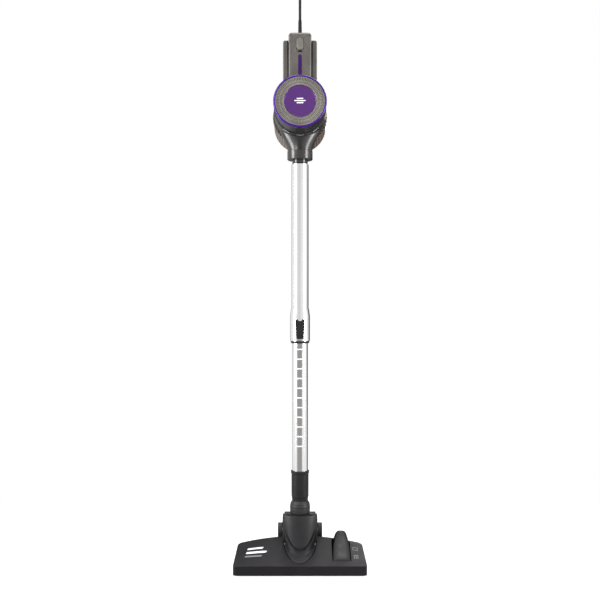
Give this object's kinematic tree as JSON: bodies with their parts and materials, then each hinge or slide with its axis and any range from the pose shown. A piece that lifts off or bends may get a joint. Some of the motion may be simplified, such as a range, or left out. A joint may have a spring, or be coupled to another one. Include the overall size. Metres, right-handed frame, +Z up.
{
  "type": "corded stick vacuum",
  "caption": "Upright corded stick vacuum: floor head with foot pedal and swivelling neck, telescopic metal wand, hand unit with motor, dust bin, D-handle and mains cord.",
  "frame": {"origin": "on the floor, in the sole's flat face, below the wand's axis", "axes": "+Z up along the wand, -Y to the front of the floor head, +X to the right seen from the front"},
  "size_m": [0.2652, 0.3543, 1.3525],
  "materials": {
    "sole_steel": "brushed stainless sheet",
    "charcoal_plastic": "satin moulded, fine grain",
    "neck_plastic": "satin moulded",
    "pedal_plastic": "satin moulded",
    "black_plastic": "satin moulded",
    "black_gloss": "polished moulded",
    "bristles": "nylon bristle",
    "steel": "turned steel",
    "rotor_steel": "laminated steel and copper",
    "tyre_rubber": "soft rubber",
    "chrome_tube": "polished chrome",
    "sleeve_chrome": "satin chrome",
    "bush_plastic": "natural acetal",
    "dark_gloss": "glossy metallic grey",
    "foam": "open foam",
    "gunmetal_satin": "satin warm gunmetal",
    "purple_gloss": "metallic gloss purple",
    "badge_purple": "dished gloss purple",
    "grille_plastic": "speckled warm grey",
    "filter_paper": "pleated filter paper",
    "switch_plastic": "satin metallic",
    "cord_rubber": "soft black PVC",
    "pin_brass": "nickelled brass",
    "smoked_clear": "clear smoky brown",
    "seal_rubber": "soft seal",
    "bin_door_plastic": "dark smoky moulded"
  },
  "bodies": {
    "floor_head": {"sole_plate": "sole_steel", "lower_chassis": "charcoal_plastic", "top_shell": "charcoal_plastic", "pedal_brackets": "charcoal_plastic", "pedal_pin": "steel"},
    "pedal": {"pedal": "pedal_plastic"},
    "brush": {"brush_carrier": "black_plastic", "bristle_strips": "bristles"},
    "neck": {"neck_cover": "charcoal_plastic", "neck_housing": "neck_plastic", "wheel_axles": "steel"},
    "left_wheel": {"wheel_left": "black_plastic", "tyre_left": "tyre_rubber"},
    "right_wheel": {"wheel_right": "black_plastic", "tyre_right": "tyre_rubber"},
    "swivel": {"swivel_elbow": "neck_plastic", "wand_cuff": "black_plastic"},
    "lower_wand": {"lower_tube": "chrome_tube"},
    "upper_wand": {"upper_tube": "chrome_tube", "telescope_sleeve": "sleeve_chrome", "sleeve_ring": "black_plastic", "guide_bush": "bush_plastic", "wand_fitting": "black_gloss"},
    "lock_button": {"lock_button": "black_plastic"},
    "hand_unit": {"wand_socket": "dark_gloss", "inlet_housing": "dark_gloss", "motor_housing": "dark_gloss", "motor_can": "steel", "intake_filter": "foam", "cyclone_plate": "black_plastic", "mesh_shroud": "steel", "spine_cover": "gunmetal_satin", "accent_strip": "purple_gloss", "switch_body": "black_plastic", "cord_clamp": "black_plastic", "handle_left": "gunmetal_satin", "handle_right": "gunmetal_satin", "strain_relief": "cord_rubber", "cord_tube": "cord_rubber", "cord_coil": "cord_rubber", "plug_body": "cord_rubber", "plug_pins": "pin_brass"},
    "release_button": {"release_button": "black_gloss"},
    "power_switch": {"switch_slider": "switch_plastic"},
    "filter_cover": {"cover_frame": "dark_gloss", "vent_grille": "grille_plastic", "centre_badge": "badge_purple", "accent_ring": "purple_gloss", "exhaust_filter": "filter_paper"},
    "lock_collar": {"lock_collar": "dark_gloss"},
    "motor_rotor": {"motor_rotor": "rotor_steel"},
    "dust_bin": {"bin_cup": "smoked_clear", "bin_seal": "seal_rubber", "door_pin": "steel"},
    "bin_door": {"bin_door": "bin_door_plastic"},
    "door_latch": {"door_latch": "black_plastic"}
  },
  "joints": [
    {"name": "pedal_tilt", "type": "hinge", "parent": "floor_head", "child": "pedal", "pos_m": [0.0835, -0.036, 0.02], "axis": [-1, 0, 0], "range_deg": [0, 9]},
    {"name": "brush_drop", "type": "slide", "parent": "floor_head", "child": "brush", "axis": [0, 0, -1], "range_m": [0, 0.003]},
    {"name": "neck_tilt", "type": "hinge", "parent": "floor_head", "child": "neck", "pos_m": [0, 0.002, 0.026], "axis": [-1, 0, 0], "range_deg": [0, 57]},
    {"name": "left_wheel_spin", "type": "hinge", "parent": "neck", "child": "left_wheel", "pos_m": [-0.0413, 0.04, 0.066], "axis": [1, 0, 0], "continuous": true},
    {"name": "right_wheel_spin", "type": "hinge", "parent": "neck", "child": "right_wheel", "pos_m": [0.0413, 0.04, 0.066], "axis": [1, 0, 0], "continuous": true},
    {"name": "wand_swivel", "type": "hinge", "parent": "neck", "child": "swivel", "pos_m": [0, 0, 0.12], "axis": [0, 0, 1], "range_deg": [-90, 90]},
    {"name": "wand_pull_out", "type": "slide", "parent": "swivel", "child": "lower_wand", "axis": [0, 0, 1], "range_m": [0, 0.04]},
    {"name": "telescope", "type": "slide", "parent": "lower_wand", "child": "upper_wand", "axis": [0, 0, 1], "range_m": [-0.24, 0]},
    {"name": "telescope_lock", "type": "slide", "parent": "upper_wand", "child": "lock_button", "axis": [0, 0, -1], "range_m": [0, 0.004], "stiffness_N_per_m": 600, "springref_m": -0.002},
    {"name": "hand_unit_lift_off", "type": "slide", "parent": "upper_wand", "child": "hand_unit", "axis": [0, 0, 1], "range_m": [0, 0.05]},
    {"name": "wand_release", "type": "slide", "parent": "hand_unit", "child": "release_button", "axis": [0, -1, 0], "range_m": [0, 0.0015], "stiffness_N_per_m": 600, "springref_m": -0.002},
    {"name": "switch_slide", "type": "slide", "parent": "hand_unit", "child": "power_switch", "axis": [0, 0, -1], "range_m": [0, 0.006]},
    {"name": "filter_cover_twist", "type": "hinge", "parent": "hand_unit", "child": "filter_cover", "pos_m": [0, -0.085, 0.932], "axis": [0, 0.9965, -0.0837], "range_deg": [0, 20]},
    {"name": "lock_collar_twist", "type": "hinge", "parent": "hand_unit", "child": "lock_collar", "pos_m": [0, -0.085, 0.932], "axis": [0, 0.9965, -0.0837], "range_deg": [0, 20]},
    {"name": "motor_spin", "type": "hinge", "parent": "hand_unit", "child": "motor_rotor", "pos_m": [0, -0.085, 0.932], "axis": [0, 0.9965, -0.0837], "continuous": true},
    {"name": "bin_slide_off", "type": "slide", "parent": "hand_unit", "child": "dust_bin", "axis": [0, 0.9965, -0.0837], "range_m": [0, 0.025]},
    {"name": "bin_door_hinge", "type": "hinge", "parent": "dust_bin", "child": "bin_door", "pos_m": [0, 0.0948, 0.85749], "axis": [-1, 0, 0], "range_deg": [0, 85]},
    {"name": "door_latch_push", "type": "slide", "parent": "dust_bin", "child": "door_latch", "axis": [0, -0.9965, 0.0837], "range_m": [0, 0.003], "stiffness_N_per_m": 600, "springref_m": -0.002}
  ],
  "couplings": [
    {"joint": "brush_drop", "follows": "pedal_tilt", "m_per_rad": 0.019079}
  ]
}
